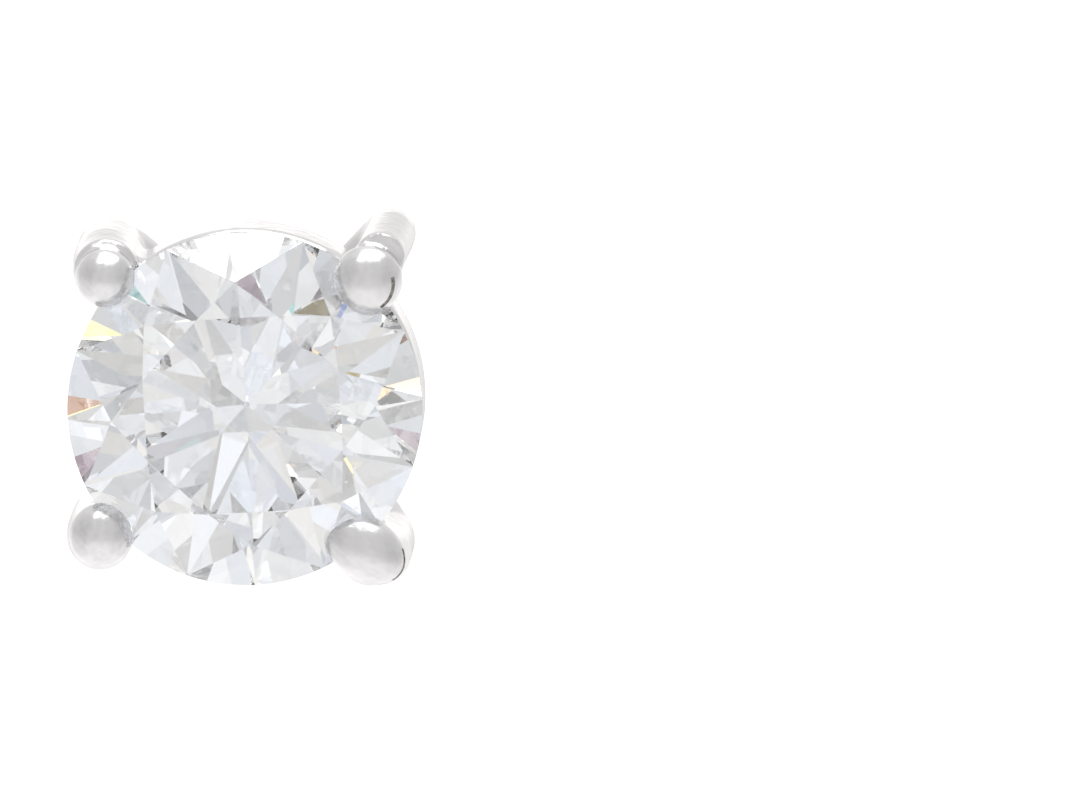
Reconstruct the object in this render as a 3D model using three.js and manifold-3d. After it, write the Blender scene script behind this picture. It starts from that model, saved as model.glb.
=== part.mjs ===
// A four-claw stud earring: a round brilliant-cut stone, a cast white gold setting whose four claws
// rise from a crossed base past a collar, and the straight post that goes through the ear.
//
// Millimetres, +Z up. Each piece is modelled on the stud's own axis: +Z towards the stone's table, +Y
// towards the top of the stud as it is worn, and zero at the back of the setting, which meets the ear.
// The finished stud is then laid on a table, on its two lower claws and the end of its post, facing -Y.

import * as THREE from "three";
import { ConvexGeometry } from "three/addons/geometries/ConvexGeometry.js";
import { mergeVertices } from "three/addons/utils/BufferGeometryUtils.js";
import Module from "manifold-3d";

const wasm = await Module();
wasm.setup();

// Sizes of the stone
const stoneDiameter = 5;
const girdleThickness = 0.15;
const tableDiameter = 2.98; // across opposite corners
const culetDiameter = 0.08;
const crownAngle = degrees(34);
const pavilionAngle = degrees(41);
const starReach = 0.43; // share of the way from the table's edge to the girdle
const lowerHalfReach = 0.78; // share of the way from the girdle to the culet
const mainFacets = 8;
const stoneTurn = 3.5; // degrees about its axis, from facets square to the stud

// Sizes of the claws
const clawDiameter = 0.93;
const clawStandOff = 0.34; // from the girdle out to a claw's middle line
const clawFootHeight = 0.5; // middle line of the crossed base, above the back
const clawFootBend = 0.75; // radius of the bend from the base up into the claw
const clawTipLift = 0.2; // from the crown up to a tip's middle line
const clawLeanStart = 1.1; // where a claw starts to lean in, below its tip's middle
const clawLeanEnd = 0.5; // where its lean aims at the tip, below its tip's middle

// Sizes of the rest of the setting
const girdleHeight = 3.4; // middle of the girdle, above the back
const collarDiameter = 4.97;
const collarWall = 0.52;
const collarTopDepth = 0.45; // below the middle of the girdle
const collarHeight = 1.7;
const collarCorner = 0.09;
const collarFillet = 0.36; // between the collar and a claw
const backDiskDiameter = 2.6;
const backDiskThickness = 0.4;
const bossDiameter = 1.8;
const bossHeight = 0.92;
const seatClearance = 0.03; // between the stone and the metal cut for it

// Sizes of the post
const postDiameter = 0.86;
const postLength = 10; // behind the back of the setting
const postSocketDepth = 0.6;
const postClearance = 0.03;
const postEndChamfer = 0.2;
const postNotchWidth = 0.6;
const postNotchDepth = 0.09;
const postNotchFromEnd = 2;

// The four claws, each bent over by hand. angle is the place round the stud in degrees, counter-clockwise
// from +X as seen from the front. lap is how far the tip laps over the girdle and girth how wide it is,
// both as shares of the claw's diameter.
const CLAWS = [
  { place: "upper right", angle: 48.5, lap: 0.47, girth: 1.12 },
  { place: "upper left", angle: 135.3, lap: 0.26, girth: 0.94 },
  { place: "lower left", angle: 221.8, lap: 0.28, girth: 1.02 },
  { place: "lower right", angle: 311, lap: 0.6, girth: 0.93 },
];

// How finely round things are divided
const girdleSides = 96;
const collarSides = 96;
const clawSides = 24;
const postSides = 32;
const bendSteps = 8;
const domeSteps = 6;
const filletSteps = 6;
const restingSteps = 24;

const stoneRadius = stoneDiameter / 2;
const clawRadius = clawDiameter / 2;
const clawCircleRadius = stoneRadius + clawStandOff;
const collarRadius = collarDiameter / 2;
const collarFront = girdleHeight - collarTopDepth;
const collarBack = collarFront - collarHeight;

function degrees(angle) {
  return (angle * Math.PI) / 180;
}

function geometryToSolid(geometry) {
  const bare = geometry.clone();
  for (const name of Object.keys(bare.attributes)) {
    if (name !== "position") bare.deleteAttribute(name);
  }
  const merged = mergeVertices(bare, 1e-5);
  const corners = [];
  for (let i = 0; i < merged.index.count; i += 3) {
    const triangle = [merged.index.getX(i), merged.index.getX(i + 1), merged.index.getX(i + 2)];
    if (new Set(triangle).size === 3) corners.push(...triangle);
  }
  return new wasm.Manifold(
    new wasm.Mesh({
      numProp: 3,
      vertProperties: new Float32Array(merged.attributes.position.array),
      triVerts: new Uint32Array(corners),
    }),
  );
}

function solidToGeometry(solid) {
  const { vertProperties, triVerts } = solid.getMesh();
  const indexed = new THREE.BufferGeometry();
  indexed.setAttribute("position", new THREE.BufferAttribute(new Float32Array(vertProperties), 3));
  indexed.setIndex(new THREE.BufferAttribute(new Uint32Array(triVerts), 1));
  const faceted = indexed.toNonIndexed();
  faceted.computeVertexNormals();
  return faceted;
}

function joined(solids) {
  return solids.reduce((whole, solid) => whole.add(solid));
}

// A solid turned about the stud's axis. profile lists [radius, height] pairs, anticlockwise.
function turned(profile, sides) {
  const points = profile.map(([radius, height]) => new THREE.Vector2(radius, height));
  return geometryToSolid(new THREE.LatheGeometry(points, sides).rotateX(Math.PI / 2));
}

function disk(diameter, from, to, sides) {
  const flat = new THREE.CylinderGeometry(diameter / 2, diameter / 2, to - from, sides);
  return geometryToSolid(flat.rotateX(Math.PI / 2).translate(0, 0, (from + to) / 2));
}

function aroundAxis(radius, turn, height) {
  return new THREE.Vector3(radius * Math.cos(turn), radius * Math.sin(turn), height);
}

// One side of a brilliant, as a block that reaches past the girdle so that a cylinder can round it off.
// The main facets rise at mainAngle from the girdle to a flat on top, whose corners lie flatTurn from
// the middle of a main facet. A pair of half facets between two mains ends in a tip at tipRadius.
function brilliantSide({ radius, mainAngle, flatRadius, flatTurn, tipRadius }) {
  const half = Math.PI / mainFacets;
  const mainHeight = (at, turn) => (radius - at * Math.cos(turn)) * Math.tan(mainAngle);
  const rim = 1.1 * radius;
  const corners = [];
  for (let facet = 0; facet < mainFacets; facet++) {
    const main = half + 2 * half * facet;
    const tip = aroundAxis(tipRadius, main + half, mainHeight(tipRadius, half));
    const onMain = aroundAxis(radius, main, 0);
    const onTip = aroundAxis(radius, main + half, 0);
    const halfFacet = new THREE.Plane().setFromCoplanarPoints(tip, onMain, onTip);
    for (const turn of [main, main + half]) {
      const above = new THREE.Line3(aroundAxis(rim, turn, radius), aroundAxis(rim, turn, -radius));
      corners.push(halfFacet.intersectLine(above, new THREE.Vector3()), aroundAxis(rim, turn, -2 * radius));
    }
    corners.push(tip, onMain, aroundAxis(flatRadius, main + flatTurn, mainHeight(flatRadius, flatTurn)));
  }
  return new ConvexGeometry(corners);
}

// The whole stone about the middle of its girdle, or with a clearance the space that is cut for it.
function brilliant(clearance) {
  const radius = stoneRadius + clearance;
  const halfGirdle = girdleThickness / 2 + clearance;
  const tableEdge = (tableDiameter / 2) * Math.cos(Math.PI / mainFacets);
  const crown = brilliantSide({
    radius,
    mainAngle: crownAngle,
    flatRadius: tableDiameter / 2,
    flatTurn: 0,
    tipRadius: tableEdge + starReach * (radius - tableEdge),
  }).translate(0, 0, halfGirdle);
  const pavilion = brilliantSide({
    radius,
    mainAngle: pavilionAngle,
    flatRadius: culetDiameter / 2,
    flatTurn: Math.PI / mainFacets,
    tipRadius: radius * (1 - lowerHalfReach),
  })
    .rotateX(Math.PI)
    .translate(0, 0, -halfGirdle);
  const round = disk(2 * radius, -stoneDiameter, stoneDiameter, girdleSides);
  const cut = geometryToSolid(crown).intersect(geometryToSolid(pavilion)).intersect(round);
  return cut.rotate([0, 0, stoneTurn]);
}

// A round bar in the plane y = 0, flat at its start and domed at its end. Each station of its middle
// line has a place and the bar's radius there.
function roundBar(stations) {
  const last = stations.at(-1);
  const end = last.place.clone().sub(stations.at(-2).place).normalize();
  const domed = [...stations];
  for (let step = 1; step < domeSteps; step++) {
    const turn = (step / domeSteps) * (Math.PI / 2);
    const place = last.place.clone().addScaledVector(end, last.radius * Math.sin(turn));
    domed.push({ place, radius: last.radius * Math.cos(turn) });
  }
  const positions = [...stations[0].place.toArray()];
  domed.forEach(({ place, radius }, index) => {
    const before = domed[Math.max(index - 1, 0)].place;
    const after = domed[Math.min(index + 1, domed.length - 1)].place;
    const along = after.clone().sub(before).normalize();
    const across = new THREE.Vector3(along.z, 0, -along.x);
    for (let side = 0; side < clawSides; side++) {
      const turn = (side / clawSides) * 2 * Math.PI;
      const point = place.clone().addScaledVector(across, radius * Math.cos(turn));
      positions.push(point.x, radius * Math.sin(turn), point.z);
    }
  });
  positions.push(...last.place.clone().addScaledVector(end, last.radius).toArray());
  const apex = positions.length / 3 - 1;
  const triangles = [];
  for (let side = 0; side < clawSides; side++) {
    const next = (side + 1) % clawSides;
    triangles.push(0, 1 + next, 1 + side);
    for (let ring = 0; ring < domed.length - 1; ring++) {
      const low = 1 + ring * clawSides;
      const high = low + clawSides;
      triangles.push(low + side, low + next, high + next, low + side, high + next, high + side);
    }
    triangles.push(apex - clawSides + side, apex - clawSides + next, apex);
  }
  const bar = new THREE.BufferGeometry();
  bar.setAttribute("position", new THREE.Float32BufferAttribute(positions, 3));
  bar.setIndex(triangles);
  return geometryToSolid(bar);
}

// One claw: out along the base, round the foot, up past the girdle and leaning in over the crown.
function claw({ angle, lap, girth }) {
  const tipRadius = clawRadius * girth;
  const tipAxis = stoneRadius - lap * clawDiameter + tipRadius;
  const crownHeight = girdleHeight + girdleThickness / 2 + (stoneRadius - tipAxis) * Math.tan(crownAngle);
  const tipHeight = crownHeight + clawTipLift / Math.cos(crownAngle);
  const leanStart = new THREE.Vector3(clawCircleRadius, 0, tipHeight - clawLeanStart);
  const leanEnd = new THREE.Vector3(clawCircleRadius, 0, tipHeight - clawLeanEnd);
  const lean = new THREE.QuadraticBezierCurve3(leanStart, leanEnd, new THREE.Vector3(tipAxis, 0, tipHeight));
  const stations = [{ place: new THREE.Vector3(0, 0, clawFootHeight), radius: clawRadius }];
  for (let step = 0; step <= bendSteps; step++) {
    const turn = (step / bendSteps) * (Math.PI / 2);
    const out = clawCircleRadius - clawFootBend * (1 - Math.sin(turn));
    const up = clawFootHeight + clawFootBend * (1 - Math.cos(turn));
    stations.push({ place: new THREE.Vector3(out, 0, up), radius: clawRadius });
  }
  for (let step = 0; step <= bendSteps; step++) {
    const share = step / bendSteps;
    stations.push({ place: lean.getPoint(share), radius: THREE.MathUtils.lerp(clawRadius, tipRadius, share) });
  }
  return joined([roundBar(stations), clawFillets()]).rotate([0, 0, angle]);
}

// The two fillets where a claw meets the collar, as one upright block between their tangent points.
function clawFillets() {
  const toFillet = collarRadius + collarFillet;
  const fromClaw = clawRadius + collarFillet;
  const cosine = (toFillet ** 2 + clawCircleRadius ** 2 - fromClaw ** 2) / (2 * toFillet * clawCircleRadius);
  const turn = Math.acos(cosine);
  const centre = new THREE.Vector2(toFillet * Math.cos(turn), toFillet * Math.sin(turn));
  const towardsCollar = turn + Math.PI;
  const towardsClaw = 2 * Math.PI - Math.atan2(centre.y, clawCircleRadius - centre.x);
  const arc = [];
  for (let step = 0; step <= filletSteps; step++) {
    const at = THREE.MathUtils.lerp(towardsCollar, towardsClaw, step / filletSteps);
    arc.push(new THREE.Vector2(centre.x + collarFillet * Math.cos(at), centre.y + collarFillet * Math.sin(at)));
  }
  const mirrored = arc.map(({ x, y }) => new THREE.Vector2(x, -y));
  const inside = new THREE.Vector2(collarRadius - collarWall / 2, 0);
  const plan = new THREE.Shape([inside, ...mirrored, ...arc.reverse()]);
  const depth = collarHeight - 2 * collarCorner;
  const block = new THREE.ExtrudeGeometry(plan, { depth, bevelEnabled: false });
  return geometryToSolid(block.translate(0, 0, collarBack + collarCorner));
}

function collar() {
  const inside = collarRadius - collarWall;
  return turned(
    [
      [inside, collarBack],
      [collarRadius - collarCorner, collarBack],
      [collarRadius, collarBack + collarCorner],
      [collarRadius, collarFront - collarCorner],
      [collarRadius - collarCorner, collarFront],
      [inside, collarFront],
      [inside, collarBack],
    ],
    collarSides,
  );
}

function clawSetting() {
  const metal = joined([
    ...CLAWS.map(claw),
    collar(),
    disk(backDiskDiameter, 0, backDiskThickness, collarSides),
    disk(bossDiameter, 0, bossHeight, postSides),
  ]);
  const socket = disk(postDiameter + 2 * postClearance, -postSocketDepth, postSocketDepth, postSides);
  return metal.subtract(brilliant(seatClearance).translate(0, 0, girdleHeight)).subtract(socket);
}

function earPost() {
  const radius = postDiameter / 2;
  const notch = postNotchFromEnd - postLength;
  return turned(
    [
      [0, -postLength],
      [radius - postEndChamfer, -postLength],
      [radius, postEndChamfer - postLength],
      [radius, notch - postNotchWidth / 2],
      [radius - postNotchDepth, notch - postNotchWidth / 4],
      [radius - postNotchDepth, notch + postNotchWidth / 4],
      [radius, notch + postNotchWidth / 2],
      [radius, postSocketDepth - postClearance],
      [0, postSocketDepth - postClearance],
    ],
    postSides,
  );
}

function lowestPoint(geometry, accepts) {
  const positions = geometry.attributes.position;
  const point = new THREE.Vector3();
  let lowest = null;
  for (let index = 0; index < positions.count; index++) {
    point.fromBufferAttribute(positions, index);
    if (accepts(point) && (!lowest || point.z < lowest.z)) lowest = point.clone();
  }
  return lowest;
}

// Turns the stud until a lower claw at each side and the end of the post touch the table together.
function layDown(setting, post, all) {
  const turnAll = (turn) => all.forEach((geometry) => geometry.applyMatrix4(turn));
  turnAll(new THREE.Matrix4().makeRotationX(Math.PI / 2));
  for (let step = 0; step < restingSteps; step++) {
    const left = lowestPoint(setting, ({ x }) => x < 0);
    const right = lowestPoint(setting, ({ x }) => x > 0);
    const end = lowestPoint(post, () => true);
    const front = left.clone().add(right).divideScalar(2);
    turnAll(new THREE.Matrix4().makeRotationX(Math.atan2(front.z - end.z, end.y - front.y)));
    turnAll(new THREE.Matrix4().makeRotationY(Math.atan2(right.z - left.z, right.x - left.x)));
  }
  const box = new THREE.Box3();
  all.forEach((geometry) => box.union(new THREE.Box3().setFromBufferAttribute(geometry.attributes.position)));
  const middle = box.getCenter(new THREE.Vector3());
  turnAll(new THREE.Matrix4().makeTranslation(-middle.x, -middle.y, -box.min.z));
}

const whiteGold = { color: 0xc8c8cb, roughness: 0.16, metalness: 1 };
const colourlessStone = { color: 0xdde4ec, roughness: 0.03, metalness: 0 };

function piece(name, geometry, look) {
  const mesh = new THREE.Mesh(geometry, new THREE.MeshStandardMaterial(look));
  mesh.name = name;
  return mesh;
}

const stone = solidToGeometry(brilliant(0).translate(0, 0, girdleHeight));
const setting = solidToGeometry(clawSetting());
const post = solidToGeometry(earPost());
layDown(setting, post, [stone, setting, post]);

const studEarring = new THREE.Group();
studEarring.name = "stud_earring";
studEarring.add(
  piece("stone", stone, colourlessStone),
  piece("claw_setting", setting, whiteGold),
  piece("ear_post", post, whiteGold),
);

export default studEarring;
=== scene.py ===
"""A four-claw stud earring with a round brilliant-cut diamond, lying on a pale table in soft studio light."""

import math

import bmesh
import bpy
from bpy.props import FloatProperty, FloatVectorProperty, PointerProperty
from mathutils import Euler, Matrix, Vector


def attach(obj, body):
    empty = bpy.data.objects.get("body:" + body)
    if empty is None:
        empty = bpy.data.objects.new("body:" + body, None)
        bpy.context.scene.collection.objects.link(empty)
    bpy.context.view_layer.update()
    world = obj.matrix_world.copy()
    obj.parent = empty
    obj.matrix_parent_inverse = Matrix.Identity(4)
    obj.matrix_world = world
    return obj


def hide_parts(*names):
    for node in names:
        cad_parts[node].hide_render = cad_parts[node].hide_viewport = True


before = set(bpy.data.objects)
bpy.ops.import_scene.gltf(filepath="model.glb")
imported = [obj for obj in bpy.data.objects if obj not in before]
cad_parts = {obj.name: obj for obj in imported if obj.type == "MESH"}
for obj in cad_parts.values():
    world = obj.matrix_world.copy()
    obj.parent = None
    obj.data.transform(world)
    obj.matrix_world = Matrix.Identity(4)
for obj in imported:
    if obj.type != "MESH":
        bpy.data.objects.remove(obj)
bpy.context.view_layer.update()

bl_info = {
    "name": "Four-Claw Stud Earring",
    "version": (1, 0, 0),
    "blender": (4, 5, 0),
    "location": "3D View > Sidebar > Stud Earring",
    "description": "Adds a diamond stud earring, its post and the studio that it lies in",
    "category": "Add Mesh",
}

MM = 0.001  # pieces are modelled in millimetres on the stud's own axis, then laid on the table in metres

# How the stud lies: its zero is the back of the setting, its +Z the stone's side, its +Y the top as worn.
LIE_TURN = Euler([math.radians(turn) for turn in (79.3045, -3.5375, 0.0357)])
LIE_PLACE = Vector((0.0784, -2.6862, 2.237)) * MM
LIE = Matrix.LocRotScale(LIE_PLACE, LIE_TURN, Vector((MM, MM, MM)))

MAIN_FACETS = 8
UPRIGHT = 0.1  # faces whose normal rises less than this are the girdle's
HALF_FACET = math.pi / MAIN_FACETS

# The four claws as bent by hand. Angles are in degrees and other sizes are shares of the claws' diameter.
# angle goes round the stud from its +X. wire is how thick the claw is, and off how much farther out it
# stands. lean is how far it tilts inwards, from the share of its height at from_height on, and end how high
# the wire ends above the girdle. place and half are the bead that the end is worked to: the middle of the
# dome and its half sizes, each out from the axis, sideways and up. turn and tilt are how the bead lies.
CLAWS = {
    "upper right": {
        "angle": 48.5, "wire": 0.77, "off": 0.15, "lean": 3.5, "from_height": 0.45, "end": 0.08,
        "place": (2.72, -0.08, 0.22), "half": (0.555, 0.53, 0.5), "turn": 0.0, "tilt": 6.0,
    },
    "upper left": {
        "angle": 135.3, "wire": 1.0, "off": -0.03, "lean": 4.0, "from_height": 0.7, "end": 0.05,
        "place": (2.91, 0.05, 0.2), "half": (0.455, 0.45, 0.47), "turn": 0.0, "tilt": 4.0,
    },
    "lower left": {
        "angle": 221.8, "wire": 1.0, "off": -0.03, "lean": 4.0, "from_height": 0.7, "end": 0.05,
        "place": (2.89, -0.02, 0.2), "half": (0.5, 0.49, 0.47), "turn": 0.0, "tilt": 4.0,
    },
    "lower right": {
        "angle": 311.0, "wire": 0.97, "off": 0.0, "lean": 9.0, "from_height": 0.7, "end": 0.24,
        "place": (2.76, 0.0, 0.23), "half": (0.7, 0.48, 0.47), "turn": 17.0, "tilt": 7.0,
    },
}

# Creases between a bead and its claw: how far out on the bead, and from where to where round it in degrees.
CREASES = {"upper right": (0.8, -104.0, -34.0), "lower right": (0.985, -22.0, 42.0)}
CREASE_RADIUS = 0.075  # of the rod that cuts them, as a share of the bead's half sizes

WIRE_SIDES = 40
LEAN_BEND = 1.5  # radius of the bend from a claw's upright part to its lean, in claw diameters
COLLAR_DRAFT = math.radians(5)  # taper at the back of the collar
DRAFTED_SHARE = 0.3  # of the collar's height
FILLET_REACH = 0.26  # how far the fillets between claws and collar reach, in millimetres
BEAD_DEPTH = 0.2  # how far the beads reach below the middle of the girdle, in millimetres
BEVEL_WIDTH = 0.05  # rounding of the post's turned edges, in millimetres
HARD_EDGE = math.radians(38)  # edges sharper than this stay sharp under smooth shading
TURNED_EDGE = math.radians(12)  # edges of the post sharper than this are rounded


def linear(hex_colour):
    """An sRGB hex colour as linear red, green, blue and alpha."""
    channels = [int(hex_colour[at : at + 2], 16) / 255 for at in (1, 3, 5)]
    return [c / 12.92 if c <= 0.04045 else ((c + 0.055) / 1.055) ** 2.4 for c in channels] + [1.0]


def length(name, description, millimetres):
    """A length that the user may change."""
    return FloatProperty(
        name=name,
        description=description,
        default=millimetres * MM,
        unit="LENGTH",
        subtype="DISTANCE",
        precision=5,
    )


def angle(name, description, degrees):
    """An angle that the user may change."""
    return FloatProperty(name=name, description=description, default=math.radians(degrees), subtype="ANGLE")


def share(name, description, value):
    """A share of a size that the user may change."""
    return FloatProperty(name=name, description=description, default=value, subtype="FACTOR")


def colour(name, description, hex_colour):
    """A colour that the user may change."""
    return FloatVectorProperty(
        name=name,
        description=description,
        default=linear(hex_colour)[:3],
        subtype="COLOR",
        size=3,
        min=0,
        max=1,
    )


class StoneSizes(bpy.types.PropertyGroup):
    diameter: length("Diameter", "Across the girdle", 5.0)
    girdle: length("Girdle", "Thickness of the girdle between crown and pavilion", 0.15)
    table: length("Table", "Across two opposite corners of the table", 2.98)
    culet: length("Culet", "Across the culet", 0.08)
    crown_angle: angle("Crown angle", "Slope of the crown's main facets", 34.0)
    pavilion_angle: angle("Pavilion angle", "Slope of the pavilion's main facets", 41.0)
    star: share("Stars", "Reach of the star facets over the crown", 0.43)
    lower_halves: share("Lower halves", "Reach of the lower half facets to the culet", 0.78)
    turn: angle("Turn", "How far the stone is turned in its setting", 3.5)
    tint: colour("Tint", "Body colour of the stone", "#FFFFFF")


class SettingSizes(bpy.types.PropertyGroup):
    girdle_height: length("Girdle height", "Middle of the girdle above the back of the setting", 3.4)
    claw_diameter: length("Claw diameter", "Thickness of the claw wire", 0.93)
    claw_stand_off: length("Claw stand-off", "From the girdle out to a claw's middle line", 0.34)
    foot_height: length("Foot height", "Middle line of the crossed base above the back", 0.5)
    foot_bend: length("Foot bend", "Radius of the bend from the base up into a claw", 0.75)
    collar_diameter: length("Collar diameter", "Outside of the collar under the stone", 4.97)
    collar_wall: length("Collar wall", "Thickness of the collar", 0.52)
    collar_depth: length("Collar depth", "Top of the collar below the middle of the girdle", 0.45)
    collar_height: length("Collar height", "Height of the collar", 1.7)
    collar_edge: length("Collar edge", "Rounding of the collar's edges", 0.12)
    disk_diameter: length("Back disk", "Diameter of the disk that meets the ear", 2.6)
    disk_thickness: length("Back disk thickness", "Thickness of the disk that meets the ear", 0.4)
    boss_diameter: length("Boss", "Diameter of the boss round the end of the post", 1.8)
    boss_height: length("Boss height", "Height of the boss above the back", 0.92)
    seat_clearance: length("Seat clearance", "Between the stone and the seats cut for it", 0.03)
    grain: length("Casting grain", "Size of the mesh that joins the castings", 0.041)
    metal: colour("Metal", "Rhodium plate over white gold", "#E6E6E8")


class PostSizes(bpy.types.PropertyGroup):
    diameter: length("Diameter", "Thickness of the post", 0.86)
    reach: length("Length", "From the back of the setting to the end", 10.0)
    socket: length("Socket depth", "How deep the socket in the setting is", 0.6)
    clearance: length("Clearance", "Between the post and its socket", 0.03)
    end_chamfer: length("End chamfer", "Rounding of the end", 0.2)
    notch_width: length("Notch width", "Width of the notch that the clutch clicks into", 0.6)
    notch_depth: length("Notch depth", "Depth of the notch", 0.09)
    notch_from_end: length("Notch place", "Middle of the notch from the end", 2.0)


class StudSizes(bpy.types.PropertyGroup):
    stone: PointerProperty(type=StoneSizes)
    setting: PointerProperty(type=SettingSizes)
    post: PointerProperty(type=PostSizes)


def in_millimetres(group):
    """The group's lengths in millimetres and its other values as they are, by name."""
    values = {}
    for name, prop in group.bl_rna.properties.items():
        if prop.type == "FLOAT" and not prop.is_array:
            values[name] = getattr(group, name) / (MM if prop.unit == "LENGTH" else 1)
    return values


def around(radius, turn, height):
    """The point at a radius, turn and height about the stud's axis."""
    return Vector((radius * math.cos(turn), radius * math.sin(turn), height))


def add_node(tree, kind, inputs=None, **settings):
    """Adds a node. inputs maps its sockets to values, or to the sockets that feed them."""
    node = tree.nodes.new(kind)
    for name, value in settings.items():
        setattr(node, name, value)
    for name, value in (inputs or {}).items():
        if isinstance(value, bpy.types.NodeSocket):
            tree.links.new(value, node.inputs[name])
        else:
            node.inputs[name].default_value = value
    return node


def new_material(name):
    """A material with nothing in it yet."""
    material = bpy.data.materials.new(name)
    material.use_nodes = True
    material.node_tree.nodes.clear()
    return material


def finished(mesh, name, materials, node):
    """Makes the mesh a piece that stands for a CAD node."""
    for material in materials:
        mesh.materials.append(material)
    piece = bpy.data.objects.new(name, mesh)
    bpy.context.scene.collection.objects.link(piece)
    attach(piece, "root")
    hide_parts(node)


def to_mesh(bm, name):
    """The bmesh as a mesh. The bmesh is used up."""
    mesh = bpy.data.meshes.new(name)
    bm.to_mesh(mesh)
    bm.free()
    return mesh


def with_modifiers(mesh, make):
    """The mesh after the modifiers that make adds to an object of it. make returns its helper objects."""
    holder = bpy.data.objects.new("holder", mesh)
    bpy.context.scene.collection.objects.link(holder)
    helpers = make(holder.modifiers)
    graph = bpy.context.evaluated_depsgraph_get()
    result = bpy.data.meshes.new_from_object(holder.evaluated_get(graph))
    for used in [holder, *helpers]:
        bpy.data.objects.remove(used)
    return result


# The stone ------------------------------------------------------------------------------------------


def cut_facet(bm, *points):
    """Grinds away what lies outside the plane through three points, given anticlockwise from outside."""
    first, second, third = points
    facing = (second - first).cross(third - first)
    everything = [*bm.verts, *bm.edges, *bm.faces]
    cut = bmesh.ops.bisect_plane(
        bm, geom=everything, dist=1e-5, plane_co=first, plane_no=facing, clear_outer=True
    )
    rim = [part for part in cut["geom_cut"] if isinstance(part, bmesh.types.BMEdge)]
    bmesh.ops.edgeloop_fill(bm, edges=rim)


def cut_side(bm, radius, slope, flat, flat_turn, tip, edge, up):
    """Cuts the main and half facets of the crown, or of the pavilion where up is -1, and then its flat.
    slope is that of the main facets, and tip how far from the axis the half facets end.
    """

    def at(reach, turn, height):
        return around(reach, turn * up, up * (edge + height))

    def rise(reach, off):
        return (radius - reach * math.cos(off)) * math.tan(slope)

    for facet in range(MAIN_FACETS):
        main = HALF_FACET * (2 * facet + 1)
        side = at(radius, main, 0)
        along = at(radius, main, 0) + Vector((-math.sin(main * up), math.cos(main * up), 0)) * up
        cut_facet(bm, side, along, at(0, 0, rise(0, 0)))
    for facet in range(MAIN_FACETS):
        middle = HALF_FACET * (2 * facet + 2)
        peak = at(tip, middle, rise(tip, HALF_FACET))
        on_tip = at(radius, middle, 0)
        cut_facet(bm, at(radius, middle - HALF_FACET, 0), on_tip, peak)
        cut_facet(bm, on_tip, at(radius, middle + HALF_FACET, 0), peak)
    top = rise(flat, flat_turn)
    cut_facet(bm, at(0, 0, top), at(1, 0, top), at(1, math.pi / 2, top))


def cut_brilliant(sizes, clearance=0.0):
    """A round brilliant about the middle of its girdle, ground facet by facet from a round blank.
    A clearance makes it bigger all round, for the seats.
    """
    radius = sizes["diameter"] / 2 + clearance
    edge = sizes["girdle"] / 2 + clearance
    table = sizes["table"] / 2
    bm = bmesh.new()
    bmesh.ops.create_cone(
        bm, cap_ends=True, segments=96, radius1=radius, radius2=radius, depth=sizes["diameter"] * 1.5
    )
    table_edge = table * math.cos(HALF_FACET)
    tip = table_edge + sizes["star"] * (radius - table_edge)
    cut_side(bm, radius, sizes["crown_angle"], table, 0.0, tip, edge, 1)
    for facet in range(MAIN_FACETS):
        middle = HALF_FACET * (2 * facet + 2)
        corner = edge + (radius - table) * math.tan(sizes["crown_angle"])
        peak = edge + (radius - tip * math.cos(HALF_FACET)) * math.tan(sizes["crown_angle"])
        left = around(table, middle + HALF_FACET, corner)
        right = around(table, middle - HALF_FACET, corner)
        cut_facet(bm, around(tip, middle, peak), left, right)
    lower_tip = radius * (1 - sizes["lower_halves"])
    cut_side(bm, radius, sizes["pavilion_angle"], sizes["culet"] / 2, HALF_FACET, lower_tip, edge, -1)
    bmesh.ops.rotate(bm, verts=bm.verts, matrix=Matrix.Rotation(sizes["turn"], 3, "Z"))
    return bm


def polished_diamond(tint):
    """Diamond, polished on a turning lap: glass-clear, and it bends light far more than glass, which breaks
    the light up into patches facet by facet. Handling leaves a faint film on it, in patches about 0.8 mm
    across, which softens it a little here and there.
    """
    material = new_material("Diamond polished facets")
    tree = material.node_tree
    place = add_node(tree, "ShaderNodeTexCoord").outputs["Object"]
    film = add_node(tree, "ShaderNodeTexNoise", {"Vector": place, "Scale": 1 / (0.8 * MM), "Detail": 3.0})
    haze = add_node(
        tree,
        "ShaderNodeMapRange",
        {"Value": film.outputs["Fac"], "From Min": 0.5, "From Max": 0.75, "To Min": 0.0, "To Max": 0.025},
    )
    shader = add_node(
        tree,
        "ShaderNodeBsdfPrincipled",
        {
            "Base Color": [*tint, 1.0],
            "Roughness": haze.outputs["Result"],
            "IOR": 2.417,
            "Transmission Weight": 1.0,
        },
    )
    add_node(tree, "ShaderNodeOutputMaterial", {"Surface": shader.outputs["BSDF"]})
    return material


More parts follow.
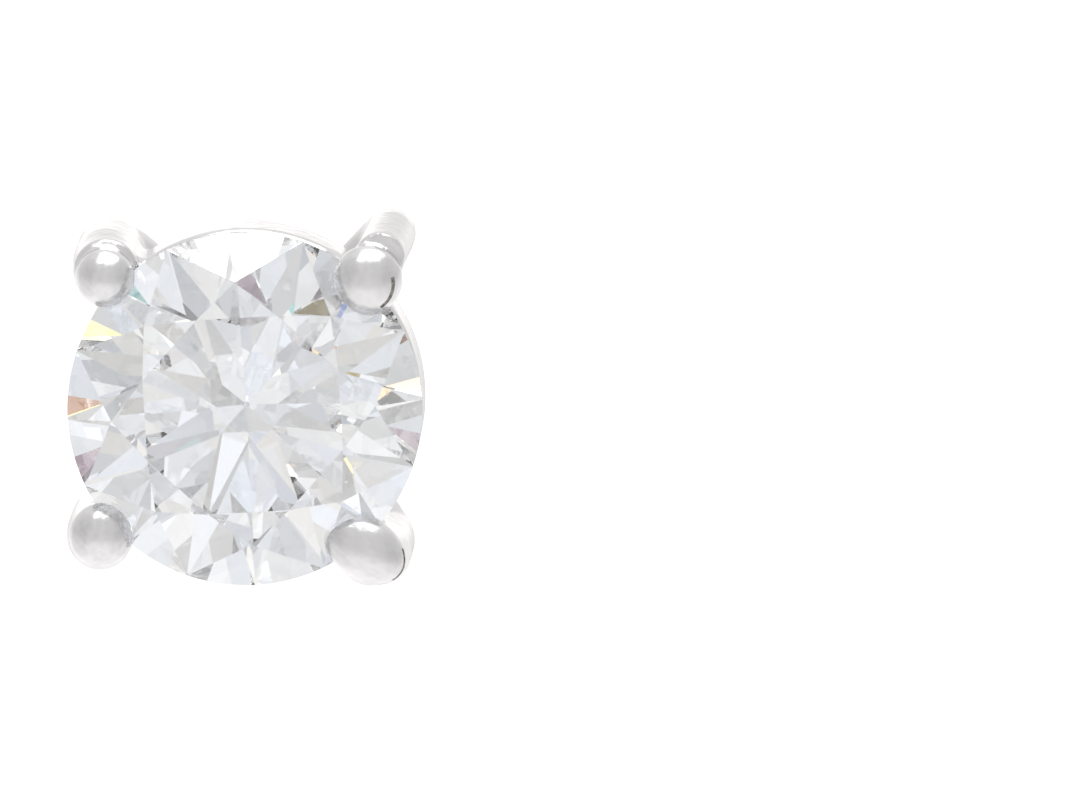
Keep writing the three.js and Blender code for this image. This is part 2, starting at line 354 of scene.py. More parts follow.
def bruted_diamond(tint):
    """Diamond ground against diamond: the girdle is left frosted, a fine milky line round the stone.
    Its grain is a few thousandths of a millimetre, and is drawn at 0.05 mm so that it shows.
    """
    material = new_material("Diamond bruted girdle")
    tree = material.node_tree
    place = add_node(tree, "ShaderNodeTexCoord").outputs["Object"]
    grain = add_node(tree, "ShaderNodeTexNoise", {"Vector": place, "Scale": 1 / (0.05 * MM), "Detail": 3.0})
    rough = add_node(
        tree,
        "ShaderNodeMapRange",
        {"Value": grain.outputs["Fac"], "From Min": 0.3, "From Max": 0.7, "To Min": 0.25, "To Max": 0.5},
    )
    bump = add_node(
        tree, "ShaderNodeBump", {"Height": grain.outputs["Fac"], "Distance": 0.004 * MM, "Strength": 0.5}
    )
    shader = add_node(
        tree,
        "ShaderNodeBsdfPrincipled",
        {
            "Base Color": [*tint, 1.0],
            "Roughness": rough.outputs["Result"],
            "IOR": 2.417,
            "Transmission Weight": 1.0,
            "Normal": bump.outputs["Normal"],
        },
    )
    add_node(tree, "ShaderNodeOutputMaterial", {"Surface": shader.outputs["BSDF"]})
    return material


class STUD_OT_stone(bpy.types.Operator):
    """Cut the stone"""

    bl_idname = "stud.stone"
    bl_label = "Stone"

    def execute(self, context):
        sizes = context.scene.stud
        stone = in_millimetres(sizes.stone)
        bm = cut_brilliant(stone)
        for face in bm.faces:
            face.material_index = 1 if abs(face.normal.z) < UPRIGHT else 0
        lift = Matrix.Translation((0, 0, sizes.setting.girdle_height / MM))
        bmesh.ops.transform(bm, verts=bm.verts, matrix=LIE @ lift)
        mesh = to_mesh(bm, "stone_cut")
        tint = sizes.stone.tint
        finished(mesh, "brilliant_stone", [polished_diamond(tint), bruted_diamond(tint)], "stone")
        return {"FINISHED"}


# The setting ----------------------------------------------------------------------------------------


def turned(bm, profile, segments):
    """Turns a line of radius and height pairs round the axis. Its ends lie on the axis, or it closes."""
    rim = [bm.verts.new((radius, 0, height)) for radius, height in profile]
    line = [bm.edges.new(pair) for pair in zip(rim, rim[1:])]
    if profile[0][0] > 0:
        line.append(bm.edges.new((rim[-1], rim[0])))
    bmesh.ops.spin(
        bm,
        geom=[*rim, *line],
        axis=(0, 0, 1),
        cent=(0, 0, 0),
        angle=2 * math.pi,
        steps=segments,
        use_merge=True,
    )


def edges_of(bm, ring):
    """The edges between the ring's vertices."""
    within = set(ring)
    return [edge for edge in bm.edges if edge.verts[0] in within and edge.verts[1] in within]


def run(bm, ring, step):
    """Draws the ring out along a straight step."""
    pulled = bmesh.ops.extrude_edge_only(bm, edges=edges_of(bm, ring))["geom"]
    ring = [part for part in pulled if isinstance(part, bmesh.types.BMVert)]
    bmesh.ops.translate(bm, verts=ring, vec=step)
    return ring


def bend(bm, ring, centre, axis, turn, steps):
    """Draws the ring round a bend."""
    geom = [*ring, *edges_of(bm, ring)]
    spun = bmesh.ops.spin(bm, geom=geom, cent=centre, axis=axis, angle=turn, steps=steps)
    return [part for part in spun["geom_last"] if isinstance(part, bmesh.types.BMVert)]


def bead_place(claw, s):
    """Where a unit ball goes to make the claw's bead."""
    out, sideways, up = (part * s["claw_diameter"] for part in claw["place"])
    half = [part * s["claw_diameter"] for part in claw["half"]]
    round_axis = Matrix.Rotation(math.radians(claw["angle"]), 4, "Z")
    shift = Matrix.Translation((out, sideways, s["girdle_height"] + up))
    turn = Matrix.Rotation(math.radians(claw["turn"]), 4, "Z")
    tilt = Matrix.Rotation(math.radians(-claw["tilt"]), 4, "Y")
    return round_axis @ shift @ turn @ tilt @ Matrix.Diagonal((*half, 1))


def claw_wire(bm, claw, s):
    """A claw bent from round wire: out along the base, round the foot, up, and leaning in."""
    radius = claw["wire"] * s["claw_diameter"] / 2
    circle = s["stone_radius"] + s["claw_stand_off"] + claw["off"] * s["claw_diameter"]
    head = s["girdle_height"] + claw["end"] * s["claw_diameter"]
    start = Matrix.Translation((0, 0, s["foot_height"])) @ Matrix.Rotation(math.pi / 2, 4, "Y")
    end = bmesh.ops.create_circle(bm, cap_ends=True, segments=WIRE_SIDES, radius=radius, matrix=start)
    ring = end["verts"]
    foot = circle - s["foot_bend"]
    ring = run(bm, ring, (foot, 0, 0))
    ring = bend(bm, ring, (foot, 0, s["foot_height"] + s["foot_bend"]), (0, 1, 0), -math.pi / 2, 12)
    shoulder = claw["from_height"] * head
    ring = run(bm, ring, (0, 0, shoulder - s["foot_height"] - s["foot_bend"]))
    lean = math.radians(claw["lean"])
    lean_radius = LEAN_BEND * s["claw_diameter"]
    ring = bend(bm, ring, (circle - lean_radius, 0, shoulder), (0, 1, 0), -lean, 4)
    rest = head - shoulder - lean_radius * math.sin(lean)
    ring = run(bm, ring, (-rest * math.tan(lean), 0, rest))
    bmesh.ops.contextual_create(bm, geom=ring)


def crease_rod(name, s):
    """A thin bent rod that cuts the crease between a claw's bead and its wire."""
    reach, first, last = CREASES[name]
    bm = bmesh.new()
    out = Matrix.Translation((reach, 0, math.sqrt(1 - reach**2))) @ Matrix.Rotation(math.pi / 2, 4, "X")
    ring = bmesh.ops.create_circle(bm, cap_ends=True, segments=12, radius=CREASE_RADIUS, matrix=out)["verts"]
    ring = bend(bm, ring, (0, 0, 0), (0, 0, 1), math.radians(last - first), 24)
    bmesh.ops.contextual_create(bm, geom=ring)
    bmesh.ops.recalc_face_normals(bm, faces=bm.faces)
    # The rod's cut faces take the setting's second material, the painted shade in the creases.
    for face in bm.faces:
        face.material_index = 1
    bmesh.ops.rotate(bm, verts=bm.verts, matrix=Matrix.Rotation(math.radians(first), 3, "Z"))
    bmesh.ops.transform(bm, verts=bm.verts, matrix=bead_place(CLAWS[name], s))
    return bm


def cast_setting(s):
    """All parts of the setting as overlapping shells, in millimetres on the stud's axis."""
    bm = bmesh.new()
    for claw in CLAWS.values():
        before = set(bm.verts)
        claw_wire(bm, claw, s)
        new = [vert for vert in bm.verts if vert not in before]
        bmesh.ops.rotate(bm, verts=new, matrix=Matrix.Rotation(math.radians(claw["angle"]), 3, "Z"))
        bmesh.ops.create_uvsphere(bm, u_segments=48, v_segments=24, radius=1, matrix=bead_place(claw, s))
    outside = s["collar_diameter"] / 2
    inside = outside - s["collar_wall"]
    front = s["girdle_height"] - s["collar_depth"]
    back = front - s["collar_height"]
    edge = s["collar_edge"]
    drafted = DRAFTED_SHARE * s["collar_height"]
    draft = drafted * math.tan(COLLAR_DRAFT)
    turned(
        bm,
        [
            (inside, back + edge / 2),
            (inside + edge / 2, back),
            (outside - edge - draft, back),
            (outside - edge * 0.3 - draft, back + edge * 0.3),
            (outside - draft, back + edge),
            (outside, back + drafted),
            (outside, front - edge),
            (outside - edge * 0.3, front - edge * 0.3),
            (outside - edge, front),
            (inside, front),
        ],
        128,
    )
    disk = (s["disk_diameter"] / 2, s["disk_thickness"])
    boss = (s["boss_diameter"] / 2, s["boss_height"])
    for radius, height in (disk, boss):
        place = Matrix.Translation((0, 0, height / 2))
        bmesh.ops.create_cone(
            bm, cap_ends=True, segments=96, radius1=radius, radius2=radius, depth=height, matrix=place
        )
    bmesh.ops.recalc_face_normals(bm, faces=bm.faces)
    return bm


def smooth(bm, verts, times):
    """Evens out the vertices, as tumbling does."""
    for _ in range(times):
        bmesh.ops.smooth_vert(bm, verts=verts, factor=0.5, use_axis_x=True, use_axis_y=True, use_axis_z=True)


def off_axis(vert):
    """How far the vertex is from the stud's axis."""
    return math.hypot(vert.co.x, vert.co.y)


def fused(mesh, s):
    """Joins the shells as one casting, with fillets where they meet, tumbled smooth."""

    def remesh(modifiers):
        modifier = modifiers.new("cast", "REMESH")
        modifier.mode = "VOXEL"
        modifier.voxel_size = s["grain"]
        modifier.use_smooth_shade = True
        return []

    bm = bmesh.new()
    bm.from_mesh(with_modifiers(mesh, remesh))
    outside = s["collar_diameter"] / 2
    front = s["girdle_height"] - s["collar_depth"]
    back = front - s["collar_height"]
    circle = s["stone_radius"] + s["claw_stand_off"]
    axes = [around(circle, math.radians(claw["angle"]), 0).to_2d() for claw in CLAWS.values()]
    low, high = back - FILLET_REACH, front + FILLET_REACH
    joints = []
    for vert in bm.verts:
        if abs(off_axis(vert) - outside) < FILLET_REACH and low < vert.co.z < high:
            gap = min((vert.co.to_2d() - axis).length for axis in axes)
            if abs(gap - s["claw_diameter"] / 2) < FILLET_REACH:
                joints.append(vert)
    smooth(bm, joints, 36)
    smooth(bm, bm.verts, 3)
    below_beads = [vert for vert in bm.verts if vert.co.z < s["girdle_height"] - BEAD_DEPTH]
    smooth(bm, below_beads, 4)
    return bm


def cut_away(mesh, cutters):
    """Cuts the cutters' shapes out of the mesh. Each cut takes the material of its cutter's index."""

    def subtract(modifiers):
        helpers = []
        for cutter in cutters:
            helper = bpy.data.objects.new("cutter", to_mesh(cutter, "cutter"))
            for material in mesh.materials:
                helper.data.materials.append(material)
            bpy.context.scene.collection.objects.link(helper)
            modifier = modifiers.new("seat", "BOOLEAN")
            modifier.operation = "DIFFERENCE"
            modifier.solver = "EXACT"
            modifier.material_mode = "INDEX"
            modifier.object = helper
            helpers.append(helper)
        return helpers

    return with_modifiers(mesh, subtract)


def polished_white_gold(metal):
    """White gold casting, tumbled, buffed and rhodium plated: a soft bright grey mirror, hazier in patches
    about 0.5 mm across where the buff bore less, with shallow dents about 0.16 mm across from working it by
    hand, a few pits of 0.05 mm left from the mould, and fine hairlines from wear. Real hairlines are about
    0.01 mm wide, and are drawn at 0.06 mm so that they show.
    """
    material = new_material("White gold cast and rhodium plated")
    tree = material.node_tree
    place = add_node(tree, "ShaderNodeTexCoord").outputs["Object"]
    buff = add_node(tree, "ShaderNodeTexNoise", {"Vector": place, "Scale": 1 / (0.5 * MM), "Detail": 3.0})
    rough = add_node(
        tree,
        "ShaderNodeMapRange",
        {"Value": buff.outputs["Fac"], "From Min": 0.3, "From Max": 0.75, "To Min": 0.19, "To Max": 0.27},
    )
    pits = add_node(tree, "ShaderNodeTexVoronoi", {"Vector": place, "Scale": 1 / (0.3 * MM)})
    sunk = add_node(
        tree,
        "ShaderNodeMapRange",
        {
            "Value": pits.outputs["Distance"],
            "From Min": 0.03,
            "From Max": 0.09,
            "To Min": -1.0,
            "To Max": 0.0,
        },
    )
    turn = add_node(
        tree, "ShaderNodeMapping", {"Vector": place, "Rotation": (0.9, 0.4, 0.6), "Scale": (1.0, 1.0, 0.04)}
    )
    lines = add_node(
        tree,
        "ShaderNodeTexNoise",
        {"Vector": turn.outputs["Vector"], "Scale": 1 / (0.06 * MM), "Detail": 2.0},
    )
    scratched = add_node(
        tree,
        "ShaderNodeMapRange",
        {"Value": lines.outputs["Fac"], "From Min": 0.28, "From Max": 0.36, "To Min": -0.15, "To Max": 0.0},
    )
    dents = add_node(tree, "ShaderNodeTexNoise", {"Vector": place, "Scale": 1 / (0.16 * MM), "Detail": 1.0})
    polished = add_node(
        tree,
        "ShaderNodeMath",
        {0: dents.outputs["Fac"], 1: 4.0, 2: scratched.outputs["Result"]},
        operation="MULTIPLY_ADD",
    )
    marks = add_node(
        tree, "ShaderNodeMath", {0: sunk.outputs["Result"], 1: polished.outputs["Value"]}, operation="ADD"
    )
    bump = add_node(
        tree, "ShaderNodeBump", {"Height": marks.outputs["Value"], "Distance": 0.003 * MM, "Strength": 0.5}
    )
    shader = add_node(
        tree,
        "ShaderNodeBsdfPrincipled",
        {
            "Base Color": [*metal, 1.0],
            "Metallic": 1.0,
            "Roughness": rough.outputs["Result"],
            "Normal": bump.outputs["Normal"],
        },
    )
    add_node(tree, "ShaderNodeOutputMaterial", {"Surface": shader.outputs["BSDF"]})
    return material


def painted_crease_shade():
    """Painted shade in the creases between the beads and their wires: a dull warm grey line, mottled in
    specks about 0.04 mm across.
    """
    material = new_material("Painted crease shade")
    tree = material.node_tree
    place = add_node(tree, "ShaderNodeTexCoord").outputs["Object"]
    specks = add_node(tree, "ShaderNodeTexNoise", {"Vector": place, "Scale": 1 / (0.04 * MM), "Detail": 2.0})
    shades = add_node(tree, "ShaderNodeValToRGB", {"Fac": specks.outputs["Fac"]})
    shades.color_ramp.elements[0].position = 0.35
    shades.color_ramp.elements[0].color = linear("#5F5B57")
    shades.color_ramp.elements[1].position = 0.65
    shades.color_ramp.elements[1].color = linear("#A9A6A2")
    shader = add_node(
        tree,
        "ShaderNodeBsdfPrincipled",
        {"Base Color": shades.outputs["Color"], "Roughness": 0.5, "IOR": 1.5},
    )
    add_node(tree, "ShaderNodeOutputMaterial", {"Surface": shader.outputs["BSDF"]})
    return material


def shade(mesh):
    """Shades the mesh smooth, except over its hard edges."""
    bm = bmesh.new()
    bm.from_mesh(mesh)
    for face in bm.faces:
        face.smooth = True
    for edge in bm.edges:
        edge.smooth = len(edge.link_faces) != 2 or edge.calc_face_angle(0) < HARD_EDGE
    bm.to_mesh(mesh)
    bm.free()


class STUD_OT_setting(bpy.types.Operator):
    """Cast the setting with its claws and collar"""

    bl_idname = "stud.setting"
    bl_label = "Setting"

    def execute(self, context):
        sizes = context.scene.stud
        s = in_millimetres(sizes.setting)
        stone = in_millimetres(sizes.stone)
        post = in_millimetres(sizes.post)
        s["stone_radius"] = stone["diameter"] / 2
        casting = to_mesh(fused(to_mesh(cast_setting(s), "shells"), s), "casting")
        casting.materials.append(polished_white_gold(sizes.setting.metal))
        # The second material is the painted shade in the creases.
        casting.materials.append(painted_crease_shade())
        seat = cut_brilliant(stone, s["seat_clearance"])
        bmesh.ops.translate(seat, verts=seat.verts, vec=(0, 0, s["girdle_height"]))
        socket = bmesh.new()
        bore = post["diameter"] / 2 + post["clearance"]
        bmesh.ops.create_cone(
            socket, cap_ends=True, segments=64, radius1=bore, radius2=bore, depth=2 * post["socket"]
        )
        creases = [crease_rod(name, s) for name in CREASES]
        mesh = cut_away(casting, [seat, socket, *creases])
        shade(mesh)
        mesh.transform(LIE)
        finished(mesh, "cast_claw_setting", [], "claw_setting")
        return {"FINISHED"}


# The post -------------------------------------------------------------------------------------------


def drawn_white_gold(metal):
    """White gold wire drawn through a die and rhodium plated: bright, with fine lines along the post that
    stretch its reflections round it. Draw lines are about 0.005 mm apart, and are drawn at 0.04 mm to show.
    """
    material = new_material("White gold drawn wire rhodium plated")
    tree = material.node_tree
    place = add_node(tree, "ShaderNodeTexCoord").outputs["Object"]
    post_axis = LIE_TURN.to_matrix().inverted().to_euler()
    straight = add_node(tree, "ShaderNodeMapping", {"Vector": place, "Rotation": post_axis})
    stretched = add_node(
        tree, "ShaderNodeMapping", {"Vector": straight.outputs["Vector"], "Scale": (1.0, 1.0, 0.02)}
    )
    lines = add_node(
        tree,
        "ShaderNodeTexNoise",
        {"Vector": stretched.outputs["Vector"], "Scale": 1 / (0.04 * MM), "Detail": 2.0},
    )
    rough = add_node(
        tree,
        "ShaderNodeMapRange",
        {"Value": lines.outputs["Fac"], "From Min": 0.3, "From Max": 0.7, "To Min": 0.14, "To Max": 0.26},
    )
    bump = add_node(
        tree, "ShaderNodeBump", {"Height": lines.outputs["Fac"], "Distance": 0.002 * MM, "Strength": 0.4}
    )
    shader = add_node(
        tree,
        "ShaderNodeBsdfPrincipled",
        {
            "Base Color": [*metal, 1.0],
            "Metallic": 1.0,
            "Roughness": rough.outputs["Result"],
            "Normal": bump.outputs["Normal"],
        },
    )
    add_node(tree, "ShaderNodeOutputMaterial", {"Surface": shader.outputs["BSDF"]})
    return material


class STUD_OT_post(bpy.types.Operator):
    """Turn the post that goes through the ear"""

    bl_idname = "stud.post"
    bl_label = "Post"

    def execute(self, context):
        sizes = context.scene.stud
        p = in_millimetres(sizes.post)
        radius = p["diameter"] / 2
        notch = p["notch_from_end"] - p["reach"]
        seat = p["socket"] - p["clearance"]
        bm = bmesh.new()
        turned(
            bm,
            [
                (0, -p["reach"]),
                (radius - p["end_chamfer"], -p["reach"]),
                (radius, p["end_chamfer"] - p["reach"]),
                (radius, notch - p["notch_width"] / 2),
                (radius - p["notch_depth"], notch - p["notch_width"] / 4),
                (radius - p["notch_depth"], notch + p["notch_width"] / 4),
                (radius, notch + p["notch_width"] / 2),
                (radius, seat),
                (0, seat),
            ],
            64,
        )
        bmesh.ops.remove_doubles(bm, verts=bm.verts, dist=1e-5)
        bmesh.ops.recalc_face_normals(bm, faces=bm.faces)
        rings = [e for e in bm.edges if len(e.link_faces) == 2 and e.calc_face_angle() > TURNED_EDGE]
        bmesh.ops.bevel(
            bm, geom=rings, offset=BEVEL_WIDTH, segments=4, affect="EDGES", profile=0.5, material=-1
        )
        mesh = to_mesh(bm, "post_turned")
        shade(mesh)
        mesh.transform(LIE)
        finished(mesh, "turned_ear_post", [drawn_white_gold(sizes.setting.metal)], "ear_post")
        return {"FINISHED"}


# The studio -----------------------------------------------------------------------------------------

CAMERA_AZIMUTH = math.radians(0.9)
CAMERA_ELEVATION = math.radians(18.0)
CAMERA_ROLL = math.radians(3.3)
CAMERA_DISTANCE = 0.4
FRAME_WIDTH = 15.19 * MM  # what the picture takes in across, at the stone
SENSOR_WIDTH = 36  # the camera's own, in millimetres
STONE_IN_FRAME = Vector((-4.15, -0.05)) * MM  # the girdle's middle from the middle of the picture


def camera_axes():
    """The camera's right, up and backward directions."""
    a, e = CAMERA_AZIMUTH, CAMERA_ELEVATION
    back = Vector((math.sin(a) * math.cos(e), -math.cos(a) * math.cos(e), math.sin(e)))
    right = Vector((math.cos(a), math.sin(a), 0))
    up = back.cross(right)
    tilt = Matrix.Rotation(CAMERA_ROLL, 3, back)
    return tilt @ right, tilt @ up, back


TABLE_RADIUS = 0.6

# The lamps hang in one plane over the stud. Their middles and sizes in it are in millimetres, across and then
# towards the front. The real stone spreads bright light into colours, and the tinted lamps stand for that, so
# they light the stone alone.
LAMPS = (
    # name, middle, size, brightness, colour, stone alone
    ("softbox_overhead", (0.0, -8.0), (47.0, 48.0), 2.4, "#FFFFFF", False),
    ("softbox_tab", (-3.5, 24.0), (8.0, 16.0), 2.4, "#FFFFFF", False),
    ("softbox_flap", (22.0, 24.0), (20.0, 16.0), 2.4, "#FFFFFF", False),
    ("fire_yellow", (-14.5, 21.0), (12.0, 10.0), 1.35, "#FFF08A", True),
    ("fire_orange", (6.0, 24.0), (11.0, 16.0), 1.35, "#FFD9A8", True),
)
LAMP_HEIGHT = 60.0 * MM
LAMP_ANGLES = (math.radians(87), math.radians(7))  # up from the camera and to its right, seen from the stud


def softbox(name, centre, middle, size, brightness, tint, stone_alone):
    """A rectangular lamp over the stud."""
    right, up, back = camera_axes()
    rise, side = LAMP_ANGLES
    towards = (back * math.cos(rise) + up * math.sin(rise)) * math.cos(side) + right * math.sin(side)
    facing = towards.to_track_quat("Z", "Y")
    data = bpy.data.lights.new(name, "AREA")
    data.shape = "RECTANGLE"
    data.size, data.size_y = (side_length * MM for side_length in size)
    data.energy = brightness * math.pi * data.size * data.size_y
    data.color = linear(tint)[:3]
    lamp = bpy.data.objects.new(name, data)
    lamp.location = centre + towards * LAMP_HEIGHT + facing @ Vector((*middle, 0)) * MM
    lamp.rotation_euler = facing.to_euler()
    lamp.visible_camera = False
    lamp.visible_glossy = not stone_alone
    lamp.visible_diffuse = not stone_alone
    bpy.context.scene.collection.objects.link(lamp)


# How bright the tent's cloth is, step by step. Each row changes a part's brightness as its reading goes from
# one value to another. towards, sideways and height are cosines from the front of the tent, from its right or
# left, and from straight up. folds, creases and gaps are patterns in the cloth.
CLOTH = (
    # part, operation, reading, from, to, value at from, value at to
    ("round the stone", "ADD", "height", -0.35, -0.05, 0.24, 0.0),
    ("round the stone", "MULTIPLY", "towards", 0.5, 0.8, 1.0, 0.0),
    ("round the stone", "ADD", "towards", 0.3, 0.76, 1.14, 0.86),
    ("round the stone", "ADD", "towards", -0.85, -0.35, -0.42, 0.0),
    ("round the stone", "MULTIPLY", "sideways", 0.45, 0.95, 1.0, 0.74),
    ("round the stone", "MULTIPLY", "folds", 0.3, 0.7, 0.9, 1.1),
    ("glints", "ADD", "creases", 0.36, 0.6, -1.0, 0.5),
    ("glints", "MULTIPLY", "towards", 0.5, 0.75, 0.72, 0.27),
    ("fire", "ADD", "gaps", 0.28, 0.42, 0.9, 0.0),
    ("fire", "MULTIPLY", "towards", 0.5, 0.65, 1.0, 0.0),
    ("fire", "MULTIPLY", "towards", -0.8, -0.6, 0.0, 1.0),
    ("round the metal", "ADD", "towards", -0.966, -0.957, 0.6, 0.0),
    ("round the metal", "MULTIPLY", "height", -0.23, -0.16, 0.0, 1.0),
    ("round the metal", "ADD", "towards", -0.9, 0.5, 0.86, 0.76),
    ("round the metal", "ADD", "height", -0.5, 0.1, 0.27, 0.0),
    ("round the metal", "MULTIPLY", "sideways", 0.4, 0.95, 1.0, 0.84),
    ("round the metal", "MULTIPLY", "folds", 0.3, 0.7, 0.92, 1.08),
    ("round the metal", "ADD", "towards", -0.996, -0.99, -0.66, 0.0),
)

# What the gaps throw back, from each share of them on.
FIRE = (
    (0.0, "#FFE070"),
    (0.16, "#F4F7FC"),
    (0.34, "#8AA4F0"),
    (0.5, "#F4F7FC"),
    (0.64, "#FFB070"),
    (0.74, "#9CDCD8"),
    (0.84, "#A38A98"),
    (0.92, "#F4F7FC"),
)


def light_tent():
    """The white cloth round the stud, uneven and creased, greyer at the front and at both sides. Stone and
    metal are lit each for itself, as in two exposures of one picture: light that comes out of the stone is
    from the creased cloth, whose small gaps it throws back as fire, and the metal mirrors the smooth one.
    """
    right, up, back = camera_axes()
    world = bpy.data.worlds.new("light_tent")
    world.use_nodes = True
    tree = world.node_tree
    tree.nodes.clear()
    direction = add_node(tree, "ShaderNodeTexCoord").outputs["Generated"]
    towards = add_node(tree, "ShaderNodeVectorMath", {0: direction, 1: back}, operation="DOT_PRODUCT")
    to_right = add_node(tree, "ShaderNodeVectorMath", {0: direction, 1: right}, operation="DOT_PRODUCT")
    sideways = add_node(tree, "ShaderNodeMath", {0: to_right.outputs["Value"]}, operation="ABSOLUTE")
    upwards = add_node(tree, "ShaderNodeSeparateXYZ", {"Vector": direction})
    folds = add_node(tree, "ShaderNodeTexNoise", {"Vector": direction, "Scale": 4.0, "Detail": 1.0})
    creases = add_node(tree, "ShaderNodeTexNoise", {"Vector": direction, "Scale": 16.0, "Detail": 2.0})
    gaps = add_node(tree, "ShaderNodeTexVoronoi", {"Vector": direction, "Scale": 9.0})
    readings = {
        "towards": towards.outputs["Value"],
        "sideways": sideways.outputs["Value"],
        "height": upwards.outputs["Z"],
        "folds": folds.outputs["Fac"],
        "creases": creases.outputs["Fac"],
        "gaps": gaps.outputs["Distance"],
    }
    parts = {part: 0.0 for part, *_ in CLOTH}
    for part, operation, reading, start, stop, at_start, at_stop in CLOTH:
        change = add_node(
            tree,
            "ShaderNodeMapRange",
            {
                "Value": readings[reading],
                "From Min": start,
                "From Max": stop,
                "To Min": at_start,
                "To Max": at_stop,
            },
            interpolation_type="SMOOTHSTEP",
        )
        changed = add_node(
            tree, "ShaderNodeMath", {0: parts[part], 1: change.outputs["Result"]}, operation=operation
        )
        parts[part] = changed.outputs["Value"]
    creased = add_node(
        tree,
        "ShaderNodeMath",
        {0: parts["round the stone"], 1: parts["glints"], 2: parts["round the stone"]},
        operation="MULTIPLY_ADD",
    )
    from_stone = add_node(tree, "ShaderNodeLightPath").outputs["Is Transmission Ray"]
    strength = add_node(
        tree,
        "ShaderNodeMix",
        {"Factor": from_stone, "A": parts["round the metal"], "B": creased.outputs["Value"]},
    )
    stains = add_node(tree, "ShaderNodeTexNoise", {"Vector": direction, "Scale": 11.0})
    tint = add_node(tree, "ShaderNodeValToRGB", {"Fac": stains.outputs["Fac"]})
    tint.color_ramp.elements[0].position = 0.35
    tint.color_ramp.elements[0].color = linear("#EDF3FD")
    tint.color_ramp.elements[1].position = 0.65
    tint.color_ramp.elements[1].color = linear("#F9F8F5")
    pick = add_node(tree, "ShaderNodeSeparateColor", {"Color": gaps.outputs["Color"]})
    hues = add_node(tree, "ShaderNodeValToRGB", {"Fac": pick.outputs["Red"]})
    hues.color_ramp.interpolation = "CONSTANT"
    hues.color_ramp.elements.remove(hues.color_ramp.elements[1])
    for position, hue in FIRE[1:]:
        hues.color_ramp.elements.new(position).color = linear(hue)
    hues.color_ramp.elements[0].color = linear(FIRE[0][1])
    flash = add_node(
        tree,
        "ShaderNodeMixRGB",
        {"Fac": parts["fire"], "Color1": tint.outputs["Color"], "Color2": hues.outputs["Color"]},
    )
    hue = add_node(
        tree,
        "ShaderNodeMixRGB",
        {"Fac": from_stone, "Color1": linear("#FFFDFB"), "Color2": flash.outputs["Color"]},
    )
    sky = add_node(
        tree,
        "ShaderNodeBackground",
        {"Color": hue.outputs["Color"], "Strength": strength.outputs["Result"]},
    )
    add_node(tree, "ShaderNodeOutputWorld", {"Surface": sky.outputs["Background"]})
    world.cycles.sampling_method = "NONE"
    return world


def lit_acrylic():
    """White acrylic lit from below, as a jeweller's photo table is, so that hardly a shadow shows on it."""
    material = new_material("Acrylic sheet lit from below")
    tree = material.node_tree
    place = add_node(tree, "ShaderNodeTexCoord").outputs["Object"]
    cloud = add_node(tree, "ShaderNodeTexNoise", {"Vector": place, "Scale": 1 / (4 * MM), "Detail": 2.0})
    glow = add_node(
        tree, "ShaderNodeMapRange", {"Value": cloud.outputs["Fac"], "To Min": 0.86, "To Max": 0.9}
    )
    shader = add_node(
        tree,
        "ShaderNodeBsdfPrincipled",
        {
            "Base Color": linear("#9A9A9A"),
            "Roughness": 0.6,
            "Emission Color": linear("#FFFFFF"),
            "Emission Strength": glow.outputs["Result"],
        },
    )
    add_node(tree, "ShaderNodeOutputMaterial", {"Surface": shader.outputs["BSDF"]})
    return material


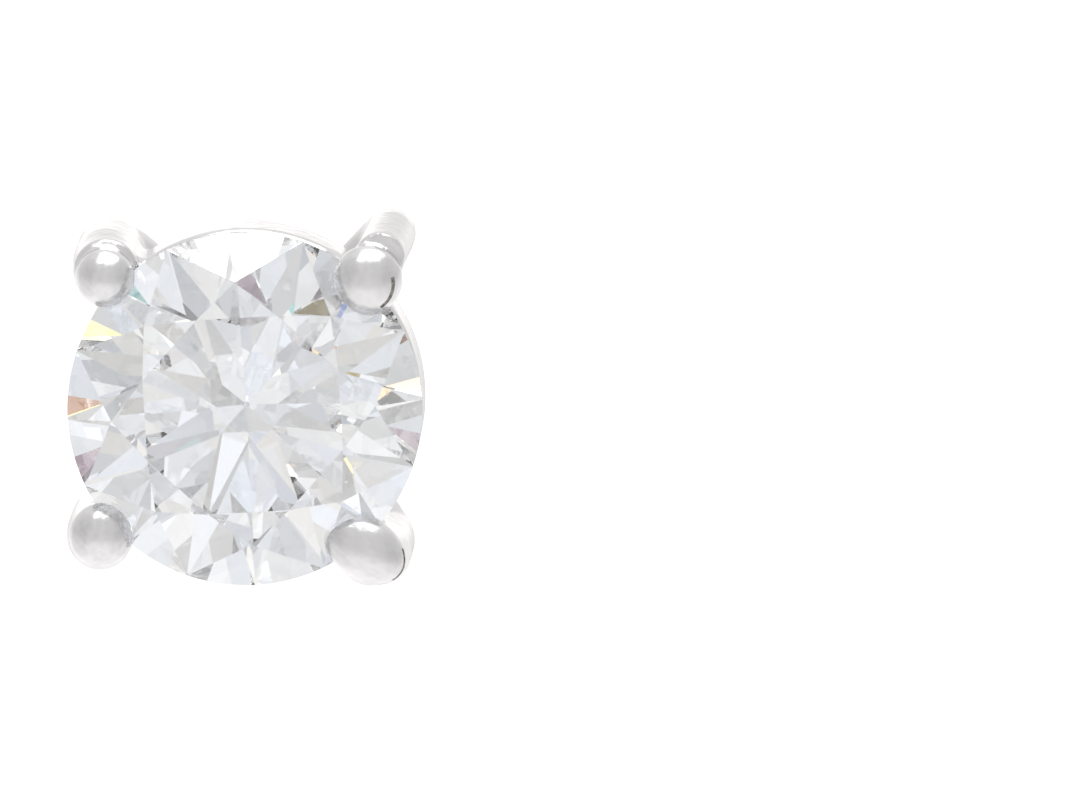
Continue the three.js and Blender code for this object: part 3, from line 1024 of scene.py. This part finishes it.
class STUD_OT_studio(bpy.types.Operator):
    """Set up the table, the lamps and the camera"""

    bl_idname = "stud.studio"
    bl_label = "Studio"

    def execute(self, context):
        scene = context.scene
        centre = LIE @ Vector((0, 0, scene.stud.setting.girdle_height / MM))
        right, up, back = camera_axes()

        bm = bmesh.new()
        bmesh.ops.create_circle(bm, cap_ends=True, segments=96, radius=TABLE_RADIUS)
        table = bpy.data.objects.new("table_top", to_mesh(bm, "table_top"))
        table.data.materials.append(lit_acrylic())
        table.visible_glossy = False
        table.visible_transmission = False
        scene.collection.objects.link(table)

        scene.world = light_tent()
        for name, *lamp in LAMPS:
            softbox(name, centre, *lamp)

        data = bpy.data.cameras.new("camera")
        data.sensor_width = SENSOR_WIDTH
        data.lens = data.sensor_width * CAMERA_DISTANCE / FRAME_WIDTH
        data.clip_start = CAMERA_DISTANCE / 10
        data.clip_end = 10
        camera = bpy.data.objects.new("camera", data)
        aim = centre - right * STONE_IN_FRAME.x - up * STONE_IN_FRAME.y
        axes = Matrix((right, up, back)).transposed()
        camera.matrix_world = Matrix.Translation(aim + back * CAMERA_DISTANCE) @ axes.to_4x4()
        scene.collection.objects.link(camera)
        scene.camera = camera

        scene.view_settings.view_transform = "Standard"
        scene.cycles.sampling_pattern = "TABULATED_SOBOL"
        scene.cycles.max_bounces = 24
        scene.cycles.glossy_bounces = 20
        scene.cycles.transmission_bounces = 24
        return {"FINISHED"}


class STUD_PT_panel(bpy.types.Panel):
    """The stud's pieces and their sizes"""

    bl_idname = "STUD_PT_panel"
    bl_label = "Stud Earring"
    bl_space_type = "VIEW_3D"
    bl_region_type = "UI"
    bl_category = "Stud Earring"

    def draw(self, context):
        for operator in OPERATORS:
            self.layout.operator(operator.bl_idname)
        for group in ("stone", "setting", "post"):
            sizes = getattr(context.scene.stud, group)
            box = self.layout.box()
            for name in sizes.bl_rna.properties.keys():
                if name not in {"rna_type", "name"}:
                    box.prop(sizes, name)


OPERATORS = (STUD_OT_stone, STUD_OT_setting, STUD_OT_post, STUD_OT_studio)
CLASSES = (StoneSizes, SettingSizes, PostSizes, StudSizes, *OPERATORS, STUD_PT_panel)


def register():
    for cls in CLASSES:
        bpy.utils.register_class(cls)
    bpy.types.Scene.stud = PointerProperty(type=StudSizes)


def unregister():
    del bpy.types.Scene.stud
    for cls in reversed(CLASSES):
        bpy.utils.unregister_class(cls)


def main():
    register()
    bpy.ops.stud.stone()
    bpy.ops.stud.setting()
    bpy.ops.stud.post()
    bpy.ops.stud.studio()
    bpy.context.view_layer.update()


if __name__ == "__main__":
    main()
